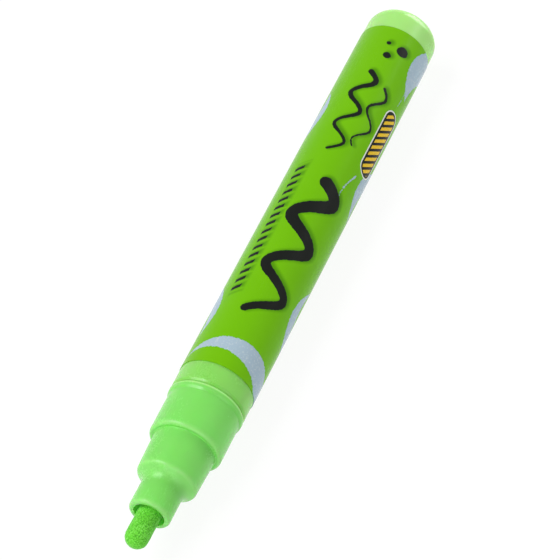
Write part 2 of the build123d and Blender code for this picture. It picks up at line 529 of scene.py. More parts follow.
class Effects:
    """Node groups that the finishes share, each built when it is first used."""

    tone_scale = 160.0
    tone_band = (0.3, 0.7)
    mark_turn = (0.4, 0.2, 0.7)
    mark_stretch = (1.0, 7.0, 7.0)
    mark_scale = 240.0
    mark_width = 0.022
    patch_scale = 90.0
    patch_band = (0.52, 0.68)
    wave_steps = 3
    shade_core = -0.4
    ink_edge = 0.05

    @cached_property
    def coordinates(self) -> Tree:
        """Unroll the barrel: Along is Rear minus x, Around the arc from Near, Out the axis distance."""
        desk = GroupDesk(
            "barrel_coordinates", "Position, Rear, Height, Radius, Near", "Along, Around, Out"
        )
        position, rear, height, radius, near = desk.given()
        parts = desk.node("SeparateXYZ", Vector=position)
        x, y, z = (desk.field(socket) * (1.0 / MM) for socket in parts.outputs)
        above = z - height
        turn = (-y).turn_from(above)
        return desk.give(Along=rear - x, Around=(turn - near) * radius, Out=y.length(above))

    @cached_property
    def grain(self) -> Tree:
        """Mould grain: fine noise of the given Size for the relief, and wide noise for the tone."""
        desk = GroupDesk("mould_grain", "Position, Size", "Height, Tone")
        position, size = desk.given()
        height = desk.noise(position, (size * MM).inverse(), detail=4.0)
        tone = desk.noise(position, self.tone_scale, detail=2.0).ramp(*self.tone_band)
        return desk.give(Height=height, Tone=tone)

    @cached_property
    def marks(self) -> Tree:
        """Handling marks: thin ridges of stretched noise, kept only where a wide noise is high."""
        desk = GroupDesk("handling_marks", "Position", "Mask")
        (position,) = desk.given()
        mapping = desk.node(
            "Mapping", Vector=position, Rotation=self.mark_turn, Scale=self.mark_stretch
        )
        ridge = (desk.noise(mapping.outputs["Vector"], self.mark_scale, detail=2.0) - 0.5).size()
        patch = desk.noise(position, self.patch_scale, detail=1.0).ramp(*self.patch_band)
        return desk.give(Mask=ridge.ramp(self.mark_width, 0.0) * patch)

    @cached_property
    def edges(self) -> Tree:
        """Painted highlight on outer rounds: paler by Pale where Bend is above nought, standing in for
        light there.
        """
        desk = GroupDesk("moulded_edges", "Ground, Edge, Bend, Pale", "Colour")
        ground, edge, bend, pale = desk.given()
        return desk.give(Colour=desk.mix(bend.most(0.0) * pale, ground, edge))

    @cached_property
    def wave(self) -> Tree:
        """Distance to a brushed wave with round ends.

        The line is Centre + Amplitude sin(2 pi p / Wavelength) over the run p from Start to End. The foot
        of a point on the line is found by three Gauss-Newton steps, each of which moves p by (the lead
        along + slope times the gap across) / (1 + slope squared). The half width falls with p by Taper.
        """
        sizes = "Start, End, Centre, Amplitude, Wavelength, Half, Taper"
        desk = GroupDesk("wave_stroke", "Along, Around, " + sizes, "Distance")
        along, around, start, end, centre, swell, wavelength, half, taper = desk.given()
        length = end - start
        run = along - start
        across = around - centre
        pace = (wavelength * (0.5 / math.pi)).inverse()
        foot = run.most(0.0).least(length)
        for _ in range(self.wave_steps):
            phase = foot * pace
            slope = swell * pace * phase.cosine()
            gap = across - swell * phase.sine()
            stride = (run - foot + slope * gap) / (slope * slope + 1.0)
            foot = (foot + stride).most(0.0).least(length)
        gap = across - swell * (foot * pace).sine()
        return desk.give(Distance=gap.length(run - foot) - half * (foot / length * taper).flipped())

    @cached_property
    def crescent(self) -> Tree:
        """Distance to a disc with a second disc cut out: the larger of d1 and minus d2."""
        sizes = "Along 1, Around 1, Radius 1, Along 2, Around 2, Radius 2"
        desk = GroupDesk("crescent", "Along, Around, " + sizes, "Distance")
        along, around, *discs = desk.given()
        first, second = (
            (along - a).length(around - c) - radius for a, c, radius in (discs[:3], discs[3:])
        )
        return desk.give(Distance=first.most(-second))

    @cached_property
    def bar(self) -> Tree:
        """Distance to a bar with round ends that runs along the barrel."""
        desk = GroupDesk("round_bar", "Along, Around, Start, End, Centre, Half", "Distance")
        along, around, start, end, centre, half = desk.given()
        beyond = along - along.most(start).least(end)
        return desk.give(Distance=beyond.length(around - centre) - half)

    @cached_property
    def dashes(self) -> Tree:
        """Distance to a row of slanted dashes: the larger of the distances across and along each."""
        sizes = "Start, End, Centre, Pitch, Slant, Half, Reach"
        desk = GroupDesk("slanted_dashes", "Along, Around, " + sizes, "Distance")
        along, around, start, end, centre, pitch, slant, half, reach = desk.given()
        rise = around - centre
        shifted = along - start + rise * slant
        cell = (shifted / pitch).fraction() - 0.5
        across = (cell * pitch).size() - half
        outside = (-shifted).most(shifted - (end - start))
        return desk.give(Distance=across.most(rise.size() - reach).most(outside))

    @cached_property
    def ink(self) -> Tree:
        """Lay an ink over a ground: a soft shadow where Shade is low, then ink where Distance is low."""
        inputs = "Ground, Ink, Shadow, Distance, Shade, Spread, Depth"
        desk = GroupDesk("ink_layer", inputs, "Colour, Mask")
        ground, ink, shadow, distance, shade, spread, depth = desk.given()
        dark = shade.ramp(spread, spread * self.shade_core)
        mask = distance.ramp(self.ink_edge, -self.ink_edge)
        shaded = desk.mix(dark * depth, ground, shadow)
        return desk.give(Colour=desk.mix(mask, shaded, ink), Mask=mask)


# Finishes


class Bench(Desk):
    """A new material on object coordinates, with the shared node groups at hand."""

    def __init__(self, name: str, effects: Effects) -> None:
        """Start the material.

        Args:
            name: Name of the material.
            effects: The shared node groups.
        """
        self.material = bpy.data.materials.new(name)
        self.material.use_nodes = True
        super().__init__(self.material.node_tree)
        self.effects = effects
        self.shader = self.tree.nodes["Principled BSDF"]
        self.position = self.node("TexCoord").outputs["Object"]

    def grain(self, size: float) -> list[Field]:
        """Height and tone of a mould grain of a size in millimetres."""
        return self.fields(self.effects.grain, Position=self.position, Size=size)

    def marks(self) -> Field:
        """Mask of the handling marks."""
        return self.fields(self.effects.marks, Position=self.position)[0]

    def finish(self, colour: Source, rough: Source, relief: Source, depth: float, **plain: Source) -> None:
        """Feed the surface shader.

        Args:
            colour: Colour of the surface.
            rough: Its roughness.
            relief: Height of its relief, from 0 to 1.
            depth: Depth of the relief in millimetres.
            plain: Further values for the shader.
        """
        bump = self.node("Bump", Height=relief, Distance=depth * MM, Strength=1.0)
        varied = {"Base Color": colour, "Roughness": rough, "Normal": bump.outputs["Normal"]}
        for name, value in {**varied, **plain}.items():
            feed(self.tree, self.shader.inputs[name.replace("_", " ")], value)


@dataclass(frozen=True)
class Finish:
    """A finish, whose name is its material's name."""

    name: str

    def dress(self, effects: Effects) -> bpy.types.Material:
        """Make the material.

        Args:
            effects: The shared node groups.

        Returns:
            The new material.
        """
        bench = Bench(self.name, effects)
        self._lay(bench)
        return bench.material

    def _lay(self, bench: Bench) -> None:
        """Leave the new material plain."""


@dataclass(frozen=True)
class MouldedPlastic(Finish):
    """Injection-moulded plastic with a faint grain and a few handling marks."""

    colour: Colour
    deep: Colour
    roughness: float = 0.26
    grain: float = 0.35
    depth: float = 0.0004
    specular: float = 0.45
    scatter: float = 0.0
    scatter_depth: float = 2.5
    # Colour of the painted highlight on outer rounds and on the nose's shoulder
    edge: Colour = srgb(196, 250, 170)
    edge_highlight_share: float = 0.0
    tone_share: float = 0.35
    uneven: float = 0.03
    mark_rough: float = 0.05

    def _lay(self, bench: Bench) -> None:
        """Feed the shader: tinted colour with painted highlights on the outer rounds, grain and marks.

        Args:
            bench: The material in the making.
        """
        height, tone = bench.grain(self.grain)
        ground = self._tint(bench, bench.mix(tone * self.tone_share, self.colour, self.deep))
        # Painted highlight: where the bend attribute is above nought, outer rounds are mixed towards the
        # edge colour
        corner = bench.node("Attribute")
        corner.attribute_name = BEND
        (colour,) = bench.fields(
            bench.effects.edges,
            Ground=ground,
            Edge=self.edge,
            Bend=corner.outputs["Fac"],
            Pale=self.edge_highlight_share,
        )
        rough = height * self.uneven + tone * self.uneven + bench.marks() * self.mark_rough
        bench.finish(
            colour,
            rough + (self.roughness - self.uneven),
            height,
            self.depth,
            Specular_IOR_Level=self.specular,
            Subsurface_Weight=self.scatter,
            Subsurface_Radius=self.colour[:3],
            Subsurface_Scale=self.scatter_depth * MM,
        )

    def _tint(self, bench: Bench, colour: Source) -> Source:
        """Leave the colour as it is."""
        return colour


@dataclass(frozen=True)
class BarrelPlastic(MouldedPlastic):
    """Plastic of the barrel: painted paler towards the empty rear end, standing in for light that passes
    the wall.
    """

    # Painted light: the paler colour and the span over which it takes over towards the rear
    pale: Colour = srgb(172, 243, 124)
    pale_from: float = -20.0
    pale_to: float = 62.0

    def _tint(self, bench: Bench, colour: Source) -> Source:
        """Mix in the painted pale colour along the barrel."""
        along = bench.fields(bench.effects.coordinates, Position=bench.position)[0]
        return bench.mix((-along).ramp(self.pale_from, self.pale_to), colour, self.pale)


@dataclass(frozen=True)
class NosePlastic(MouldedPlastic):
    """Nose plastic: ink stain in the bore painted light, painted highlights on the bead's crest and thin
    shoulder.
    """

    # Ink stain in the bore, painted lighter than the plastic to stand in for light shining through the
    # wall
    ink_stain_and_glow: Colour = srgb(170, 252, 120)
    stain_radius: float = 3.08
    stain_fade: float = 0.14
    height: float = 7.5
    # Painted highlight on the thin shoulder: where it starts, peaks and ends along the barrel, and its
    # share
    shoulder: float = 52.2
    shoulder_peak: float = 53.2
    shoulder_end: float = 55.6
    shoulder_highlight_share: float = 0.14
    # Painted highlight along the bead's crest: its place, rise, fall, share and colour
    crest: float = 35.2
    crest_rise: float = 0.2
    crest_fall: float = 0.45
    crest_highlight_share: float = 0.85
    crest_highlight_colour: Colour = srgb(186, 255, 146)

    def _tint(self, bench: Bench, colour: Source) -> Source:
        """Mix in the painted highlights on the shoulder and the bead's crest, and the ink stain near the
        axis, painted light.

        Args:
            bench: The material in the making.
            colour: Colour of the plastic.

        Returns:
            The tinted colour.
        """
        along, _, out = bench.fields(
            bench.effects.coordinates, Position=bench.position, Height=self.height
        )
        # Painted highlight on the shoulder, in the edge colour
        thin = along.band(self.shoulder, self.shoulder_peak, self.shoulder_end)
        colour = bench.mix(thin * self.shoulder_highlight_share, colour, self.edge)
        # Painted highlight along the bead's crest
        ring = along.band(self.crest - self.crest_rise, self.crest, self.crest + self.crest_fall)
        colour = bench.mix(ring * self.crest_highlight_share, colour, self.crest_highlight_colour)
        # Ink stain near the axis, painted light where the bore lies in shade
        inked = out.ramp(self.stain_radius + self.stain_fade, self.stain_radius)
        return bench.mix(inked, colour, self.ink_stain_and_glow)


@dataclass
class Sheet:
    """A film in the making: the place of each point on it when unrolled, and its colour so far."""

    bench: Bench
    along: Field
    around: Field
    colour: Source
    shadow: Colour

    def nearest(self, *kinds: tuple[Tree, tuple[Row, ...]]) -> Field:
        """Measure the nearest of some printed shapes.

        Args:
            kinds: Groups that measure one kind of shape each, with a row for each shape that gives
                its sizes in the order of the group's further inputs.

        Returns:
            The distance, negative inside a shape.
        """
        found = []
        for group, rows in kinds:
            for row in rows:
                node = self.bench.node("Group", group, Along=self.along, Around=self.around)
                for socket, size in zip(node.inputs[2:], row):
                    socket.default_value = size
                found.append(self.bench.field(node.outputs["Distance"]))
        return reduce(Field.least, found)

    def lay(self, ink: Source, distance: Field, shade: Field, soft: Row) -> Field:
        """Lay an ink with its shadow over the colour so far.

        Args:
            ink: Colour of the ink.
            distance: Distance to the ink's shape.
            shade: Distance to the shadow's shape.
            soft: Spread and depth of the shadow.

        Returns:
            The ink's mask.
        """
        spread, depth = soft
        self.colour, mask = self.bench.fields(
            self.bench.effects.ink,
            Ground=self.colour,
            Ink=ink,
            Shadow=self.shadow,
            Distance=distance,
            Shade=shade,
            Spread=spread,
            Depth=depth,
        )
        return mask


@dataclass(frozen=True)
class PrintedFilm(Finish):
    """Glossy film with a free print of waves, dashes, sweeps and dots.

    The print's sizes are in millimetres on the unrolled film, along it from its rear end and around it
    from the line at the angle near. A soft pair is the spread and the depth of an ink's shadow.
    """

    rear: float
    length: float
    height: float
    radius: float
    near: float = math.radians(16.75)
    ground: Colour = srgb(120, 197, 10)
    deep: Colour = srgb(112, 190, 3)
    black: Colour = srgb(20, 24, 20)
    sweep: Colour = srgb(176, 199, 214)
    yellow: Colour = srgb(250, 206, 40)
    white: Colour = srgb(244, 246, 240)
    shadow: Colour = srgb(48, 116, 2)
    # Painted shade along both ends of the film, where its edge steps down to the tube
    edge_shade: Colour = srgb(92, 172, 20)
    edge_shade_width: float = 0.28
    edge_shade_core: float = 0.05
    edge_shade_share: float = 0.15
    grain: float = 0.8
    tone_share: float = 0.25
    roughness: float = 0.2
    grain_rough: float = 0.05
    mark_rough: float = 0.1
    ink_rough: float = 0.07
    ink_relief: float = 0.65
    depth: float = 0.0012
    specular: float = 0.09
    # Along, around and radius of a disc, then of the disc that is cut out of it
    crescents: tuple[Row, ...] = (
        (99.0, 1.5, 15.2, 103.8, -2.6, 16.6),
        (71.0, 16.5, 9.5, 68.2, 18.8, 9.3),
        (38.0, 15.2, 8.2, 41.0, 18.4, 8.6),
        (6.0, 13.5, 9.0, 12.5, 17.5, 9.6),
        (24.0, -17.0, 9.0, 20.0, -19.0, 9.2),
        (78.0, -17.5, 9.5, 82.0, -19.5, 9.7),
    )
    # Start, end, centre, amplitude, wavelength, half width and taper
    wisps: tuple[Row, ...] = (
        (7.0, 16.0, 5.4, 1.3, 26.0, 0.16, 0.8),
        (37.0, 47.0, 5.2, -1.5, 24.0, 0.18, 0.8),
    )
    waves: tuple[Row, ...] = (
        (43.0, 77.0, 0.4, 3.3, 12.8, 1.45, 0.45),
        (13.0, 35.0, -2.2, 1.8, 8.6, 0.6, 0.5),
        (15.5, 32.0, 1.9, 1.3, 8.6, 0.34, 0.5),
    )
    # Start, end, centre, pitch, slant, half width and reach
    dashes: tuple[Row, ...] = ((40.0, 74.0, -6.2, 2.1, 0.5, 0.42, 0.95),)
    # Start, end, centre and half width
    dots: tuple[Row, ...] = ((5.0, 5.0, 1.6, 1.25), (7.6, 7.6, -0.9, 0.8), (4.4, 4.4, -1.7, 0.5))
    # Start, end and centre, and the half widths of the three layers
    bar: Row = (20.0, 33.0, 6.9)
    bar_halves: Row = (2.35, 2.05, 1.6)
    hatch_pitch: float = 1.7
    hatch_band: Row = (0.21, 0.25)
    chalk_scale: float = 2200.0
    chalk_band: Row = (0.52, 0.7)
    chalk_share: float = 0.35
    chalk_edge: float = 0.7
    brush_scale: float = 1500.0
    brush_edge: float = 0.35
    shade_along: float = 0.35
    shade_around: float = 0.45
    sweep_soft: Row = (0.3, 0.2)
    stroke_soft: Row = (0.8, 0.6)
    bar_soft: Row = (0.2, 0.3)

    def _lay(self, bench: Bench) -> None:
        """Feed the shader: ground, sweeps, strokes and painted shade along both ends, with grain and
        marks.

        Args:
            bench: The material in the making.
        """
        along, around, _ = bench.fields(
            bench.effects.coordinates,
            Position=bench.position,
            Rear=self.rear,
            Height=self.height,
            Radius=self.radius,
            Near=self.near,
        )
        height, tone = bench.grain(self.grain)
        ground = bench.mix(tone * self.tone_share, self.ground, self.deep)
        sheet = Sheet(bench, along, around, ground, self.shadow)
        self._sweep(sheet)
        printed = self._stroke(sheet)
        self._hatch(sheet)
        # Painted shade: both ends of the film darken towards the edge shade colour
        front = along.ramp(self.length - self.edge_shade_width, self.length - self.edge_shade_core)
        edge = along.ramp(self.edge_shade_width, self.edge_shade_core).most(front)
        colour = bench.mix(edge * self.edge_shade_share, sheet.colour, self.edge_shade)
        marked = height * self.grain_rough + bench.marks() * self.mark_rough + printed * self.ink_rough
        relief = height * (1.0 - self.ink_relief) + printed * self.ink_relief
        rough = marked + self.roughness
        bench.finish(colour, rough, relief, self.depth, Specular_IOR_Level=self.specular)

    def _sweep(self, sheet: Sheet) -> None:
        """Lay the grey-blue sweeps on the ground, with chalky edges.

        Args:
            sheet: The film in the making.
        """
        bench = sheet.bench
        shapes = ((bench.effects.crescent, self.crescents), (bench.effects.wave, self.wisps))
        nearest = sheet.nearest(*shapes)
        chalk = bench.noise(bench.position, self.chalk_scale, detail=4.0)
        ink = bench.mix(chalk.ramp(*self.chalk_band) * self.chalk_share, self.sweep, self.white)
        sheet.lay(ink, nearest + (chalk - 0.5) * self.chalk_edge, nearest, self.sweep_soft)

    def _stroke(self, sheet: Sheet) -> Field:
        """Lay the black strokes over the sweeps.

        Args:
            sheet: The film in the making.

        Returns:
            A mask of the strokes.
        """
        bench = sheet.bench
        effects = bench.effects
        shapes = ((effects.wave, self.waves), (effects.dashes, self.dashes), (effects.bar, self.dots))
        brush = (bench.noise(bench.position, self.brush_scale, detail=2.0) - 0.5) * self.brush_edge
        strokes = sheet.nearest(*shapes) + brush
        moved = replace(
            sheet, along=sheet.along + self.shade_along, around=sheet.around - self.shade_around
        )
        return sheet.lay(self.black, strokes, moved.nearest(*shapes), self.stroke_soft)

    def _hatch(self, sheet: Sheet) -> None:
        """Lay the hatched bar: a white one, a black one on it, and one with slanted stripes on both.

        Args:
            sheet: The film in the making.
        """
        stripes = ((sheet.around + sheet.along) / self.hatch_pitch).fraction() - 0.5
        hatch = stripes.size().ramp(*self.hatch_band).flipped()
        fill = sheet.bench.mix(hatch, self.yellow, self.black)
        for half, ink in zip(self.bar_halves, (self.white, self.black, fill)):
            bar = sheet.nearest((sheet.bench.effects.bar, ((*self.bar, half),)))
            sheet.lay(ink, bar, bar, self.bar_soft)


@dataclass(frozen=True)
class BondedFibre(Finish):
    """Bonded fibre that is soaked with ink: a felted grain with dark pores."""

    colour: Colour = srgb(112, 226, 57)
    pale: Colour = srgb(150, 240, 108)
    pore: Colour = srgb(50, 158, 22)
    grain: float = 0.22
    stretch: Row = (0.8, 1.0, 1.0)
    fibre_scale: float = 4200.0
    lint_band: Row = (0.53, 0.64)
    pore_band: Row = (0.48, 0.37)
    share: float = 0.75
    roughness: float = 0.72
    fibre_rough: float = 0.2
    fibre_relief: float = 0.6
    depth: float = 0.06

    def _lay(self, bench: Bench) -> None:
        """Feed the shader: pale lint and dark pores, a rough relief and a sheen.

        Args:
            bench: The material in the making.
        """
        height = bench.grain(self.grain)[0]
        stretch = bench.node("Mapping", Vector=bench.position, Scale=self.stretch)
        fibres = bench.noise(stretch.outputs["Vector"], self.fibre_scale, detail=3.0)
        colour = bench.mix(fibres.ramp(*self.lint_band) * self.share, self.colour, self.pale)
        colour = bench.mix(fibres.ramp(*self.pore_band) * self.share, colour, self.pore)
        bench.finish(
            colour,
            fibres * self.fibre_rough + self.roughness,
            fibres * self.fibre_relief + height * (1.0 - self.fibre_relief),
            self.depth,
            Specular_IOR_Level=0.25,
            Sheen_Weight=0.3,
            Sheen_Roughness=0.4,
        )


@dataclass(frozen=True)
class Rubber(Finish):
    """Black moulded rubber with a dusty bloom."""

    colour: Colour = srgb(34, 34, 35)
    bloom: Colour = srgb(66, 66, 68)
    bloom_share: float = 0.5
    grain: float = 0.18
    roughness: float = 0.6
    uneven: float = 0.12
    depth: float = 0.008

    def _lay(self, bench: Bench) -> None:
        """Feed the shader: bloom and a fine grain.

        Args:
            bench: The material in the making.
        """
        height, tone = bench.grain(self.grain)
        colour = bench.mix(tone * self.bloom_share, self.colour, self.bloom)
        bench.finish(colour, tone * self.uneven + self.roughness, height, self.depth)


@dataclass(frozen=True)
class Steel(Finish):
    """Steel with fine marks, drawn or polished by its roughness."""

    roughness: float
    depth: float
    colour: Colour = srgb(196, 197, 199)
    dull: Colour = srgb(150, 150, 152)
    dull_share: float = 0.4
    grain: float = 0.12
    uneven: float = 0.08
    mark_rough: float = 0.15

    def _lay(self, bench: Bench) -> None:
        """Feed the shader: dull patches, marks and a fine grain on metal.

        Args:
            bench: The material in the making.
        """
        height, tone = bench.grain(self.grain)
        colour = bench.mix(tone * self.dull_share, self.colour, self.dull)
        rough = tone * self.uneven + bench.marks() * self.mark_rough + self.roughness
        bench.finish(colour, rough, height, self.depth, Metallic=1.0)


# Pieces


def span(node: str) -> tuple[float, float]:
    """A solid's front and rear end along the axis, in millimetres."""
    low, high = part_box(node)
    return low.x / MM, high.x / MM


def reach(node: str) -> float:
    """A solid's radius across the axis, in millimetres."""
    low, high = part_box(node)
    return (high.z - low.z) / 2 / MM


@dataclass
class Assembly:
    """A group of pieces around the marker's axis, whose height is in millimetres."""

    effects: Effects
    height: float

    def build(self) -> None:
        """Build and dress the pieces."""
        raise NotImplementedError

    def add(
        self, name: str, node: str, body: Body, surface: Surface, finish: Finish
    ) -> bpy.types.Object:
        """Put a dressed surface into the scene in place of a solid.

        Args:
            name: Name of the piece.
            node: Solid that it stands for.
            body: Body that it rides on.
            surface: Its shape.
            finish: Its finish.

        Returns:
            The new object.
        """
        data = surface.mesh(name)
        data.materials.append(finish.dress(self.effects))
        piece = bpy.data.objects.new(name, data)
        bpy.context.scene.collection.objects.link(piece)
        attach(piece, body.value)
        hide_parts(node)
        LOG.info("%s: %d points, rides on %s", name, len(data.vertices), body.value)
        return piece

    def keep(self, node: str, finish: Finish) -> None:
        """Dress a solid that stays in view.

        Args:
            node: Name of the solid.
            finish: Its finish.
        """
        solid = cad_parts[node]
        solid.data.materials.clear()
        solid.data.materials.append(finish.dress(self.effects))
        LOG.info("%s: solid kept, dressed in %s", node, finish.name)

    def turned(self, corners: list[Row], steps: int = 9) -> Surface:
        """Turn a rounded profile about the axis."""
        return lathe(rounded_profile(corners, steps), self.height)


@dataclass
class Barrel(Assembly):
    """The tube with its rounded rear end and the printed film around it."""

    wall: float = 1.0
    rear_wall: float = 1.4
    rear_round: float = 3.2
    round_steps: int = 17
    seam_bevel: float = 0.64
    seam_drop: float = 0.24
    seam_round: float = 0.25
    seam_edge: float = 0.18
    seam_lip: float = 0.1
    seam_slope: float = 0.05
    seam_depth: float = 0.33
    lead: float = 0.3
    groove_inset: float = 2.95
    groove_width: float = 1.5
    groove_depth: float = 0.25
    film_gap: float = 0.004
    film_overlap: float = 3.0
    film_rise: float = 0.12
    film_crest: float = 0.3
    film_step: float = 0.045
    film_turn: float = math.radians(-38.0)
    film_columns: int = 720
    plastic: Finish = BarrelPlastic(
        "barrel_plastic", srgb(143, 227, 95), srgb(135, 221, 85), scatter=0.5
    )

    def build(self) -> None:
        """Build and dress the tube and its film."""
        self._tube()
        self._film()

    def _tube(self) -> None:
        """Turn the tube: rounded rear end, plain outside, snap groove inside the front end."""
        front, rear = span("barrel")
        radius = reach("barrel")
        bore = radius - self.wall
        groove = front + self.groove_inset
        bottom = bore + self.groove_depth
        corners = [
            (rear, 0.0),
            (rear, radius, self.rear_round),
            (front + self.seam_bevel, radius, self.seam_round),
            (front + self.seam_edge, radius - self.seam_drop, self.seam_lip),
            (front + self.seam_edge - self.seam_slope, radius - self.seam_depth),
            (front, radius - self.seam_depth),
            (front, bore + self.lead),
            (front + self.lead, bore),
            (groove, bore),
            (groove + self.groove_depth, bottom),
            (groove + self.groove_width - self.groove_depth, bottom),
            (groove + self.groove_width, bore),
            (rear - self.rear_wall, bore, self.rear_round - self.rear_wall),
            (rear - self.rear_wall, 0.0),
        ]
        surface = self.turned(corners, self.round_steps)
        self.add("barrel_tube", "barrel", Body.BARREL, surface, self.plastic)

    def _film(self) -> None:
        """Turn the film. Its overlap on the side is a short step up, then a long run back down."""
        front, rear = span("label_sleeve")
        outer = reach("label_sleeve")
        inner = reach("barrel") + self.film_gap
        profile = outward(rounded_profile([(rear, inner), (rear, outer), (front, outer), (front, inner)]))
        arc = ((angles(self.film_columns) - self.film_turn + np.pi) % (2 * np.pi) - np.pi) * outer
        lift = step(arc, 0.0, self.film_rise) * (1 - step(arc, self.film_crest, self.film_overlap))
        overlap = np.where(profile[:, 1:2] > outer - CLOSE, lift * self.film_step, 0.0)
        surface = lathe(profile, self.height, overlap, self.film_columns)
        finish = PrintedFilm("label_film", rear, rear - front, self.height, outer)
        self.add("label_film", "label_sleeve", Body.BARREL, surface, finish)


@dataclass
class Nose(Assembly):
    """The moulded nose section: bead, collar, middle, shoulder, nozzle and the spigot inside."""

    bead_length: float = 1.4
    groove_width: float = 0.14
    groove_depth: float = 0.33
    groove_round: float = 0.05
    bead_crest: float = 0.33
    crest_round: float = 0.12
    bead_edge: float = 1.12
    bead_drop: float = 0.08
    bead_round: float = 0.2
    bead_foot: float = 1.58
    bead_root: float = 0.2
    collar_step: float = 0.35
    collar_length: float = 8.65
    collar_round: float = 0.65
    middle_step: float = 1.0
    middle_taper: float = 0.28
    middle_length: float = 7.9
    middle_root: float = 0.2
    shoulder_length: float = 1.25
    shoulder_round: float = 0.8
    nozzle_wall: float = 1.0
    nozzle_root: float = 2.3
    rim_round: float = 0.6
    mouth_radius: float = 3.0
    mouth_round: float = 0.15
    chamber_radius: float = 4.4
    seat_radius: float = 5.23
    seat_depth: float = 6.7
    spigot_radius: float = 6.33
    spigot_length: float = 7.5
    spigot_round: float = 0.4
    rib_count: int = 6
    rib_width: float = 0.9
    rib_blend: float = 0.06
    rib_inset: float = 1.6
    rib_reach: float = 2.25
    rib_lead: float = 0.25
    columns: int = 360
    # The nose's plastic gets a painted highlight on its outer rounds
    plastic: Finish = NosePlastic(
        "nose_plastic", srgb(132, 231, 98), srgb(124, 226, 90), scatter=0.5, edge_highlight_share=0.3
    )

    def build(self) -> None:
        """Turn the nose section and dress it."""
        mouth, spigot = span("nose_section")
        seam = spigot - self.spigot_length
        bead = reach("nose_section")
        collar = bead - self.collar_step
        middle = collar - self.middle_step
        nozzle = self.mouth_radius + self.nozzle_wall
        collar_x = seam - self.bead_length - self.collar_length
        middle_x = collar_x - self.middle_length
        seat_x = seam - self.seat_depth
        chamber_x = middle_x + self.chamber_radius - self.mouth_radius
        rib_x = mouth + self.rib_inset
        corners = [
            (spigot, self.seat_radius),
            (spigot, self.spigot_radius, self.spigot_round),
            (seam, self.spigot_radius),
            (seam, bead - self.groove_depth),
            (seam - self.groove_width, bead - self.groove_depth, self.groove_round),
            (seam - self.bead_crest, bead, self.crest_round),
            (seam - self.bead_edge, bead - self.bead_drop, self.bead_round),
            (seam - self.bead_foot, collar, self.bead_root),
            (collar_x, collar, self.collar_round),
            (collar_x, middle, self.middle_root),
            (middle_x, middle - self.middle_taper, self.shoulder_round),
            (middle_x - self.shoulder_length, nozzle, self.nozzle_root),
            (mouth, nozzle, self.rim_round),
            (mouth, self.mouth_radius, self.mouth_round),
            (rib_x, self.mouth_radius),
            (rib_x + self.rib_lead, self.mouth_radius),
            (middle_x, self.mouth_radius),
            (chamber_x, self.chamber_radius),
            (seat_x, self.chamber_radius),
            (seat_x, self.seat_radius),
        ]
        profile = outward(rounded_profile(corners))
        surface = lathe(profile, self.height, self._ribs(profile, rib_x, chamber_x), self.columns)
        self.add("nose_moulding", "nose_section", Body.BARREL, surface, self.plastic)

    def _ribs(self, profile: np.ndarray, start: float, end: float) -> np.ndarray:
        """Raise the guide ribs: even plateaus around the bore.

        Args:
            profile: Profile of the nose.
            start: Where the ribs begin to rise.
            end: Where the bore has widened to the chamber.

        Returns:
            Change of the radius by ring and column.
        """
        along = profile[:, :1]
        inside = (profile[:, 1:2] < self.mouth_radius + CLOSE) & (along < end)
        gate = step(along, start, start + self.rib_lead) * inside
        pitch = 2 * np.pi / self.rib_count
        arc = ((angles(self.columns) + pitch / 2) % pitch - pitch / 2) * self.mouth_radius
        half = self.rib_width / 2
        plateau = 1 - step(np.abs(arc), half - self.rib_blend, half + self.rib_blend)
        return gate * plateau * (self.rib_reach - self.mouth_radius)


@dataclass
class Nib(Assembly):
    """The bullet nib of bonded fibre."""

    rings: int = 260
    columns: int = 300
    felt: float = 0.022
    felt_sink: float = 0.6
    felt_band: float = 0.16
    tip_fade: float = 0.8
    seat_from: float = 2.4
    seat_to: float = 1.8
    seed: int = 7
    fibre: Finish = BondedFibre("nib_fibre")

    def build(self) -> None:
        """Turn the nib with a felted surface and dress it.

        The profile is a quarter circle at the tip and a straight side, in even steps of its length.
        The felt is seeded noise on the grid, smoothed by a Gaussian in its spectrum, and it fades
        towards the tip's pole and the seat in the cup.
        """
        tip, rear = span("nib")
        radius = reach("nib")
        cap = radius * np.pi / 2
        run = np.linspace(0.0, cap + (rear - tip - radius), self.rings)
        turned = np.minimum(run / radius, np.pi / 2)
        x = tip + radius * (1 - np.cos(turned)) + np.maximum(run - cap, 0.0)
        side = np.stack([x, radius * np.sin(turned)], axis=1)
        profile = outward(np.concatenate([side, [[rear, 0.0]]]))
        along = profile[1:-1, :1]
        seat = step(along, rear - self.seat_from, rear - self.seat_to)
        fade = step(along, tip, tip + self.tip_fade) * (1 - seat)
        felt = self._felt(len(along)) * self.felt * fade - self.felt_sink * self.felt
        surface = lathe(profile, self.height, felt, self.columns)
        self.add("nib_bullet", "nib", Body.NIB, surface, self.fibre)

    def _felt(self, rows: int) -> np.ndarray:
        """Make smoothed noise on a grid.

        Args:
            rows: Rings in the grid.

        Returns:
            Noise with a spread of one.
        """
        rough = np.random.default_rng(self.seed).standard_normal((rows, self.columns))
        along = np.fft.fftfreq(rows)[:, None]
        around = np.fft.rfftfreq(self.columns)[None, :]
        keep = np.exp(-((along / self.felt_band) ** 2 + (around / self.felt_band) ** 2))
        smooth = np.fft.irfft2(np.fft.rfft2(rough) * keep, (rows, self.columns))
        return smooth / smooth.std()


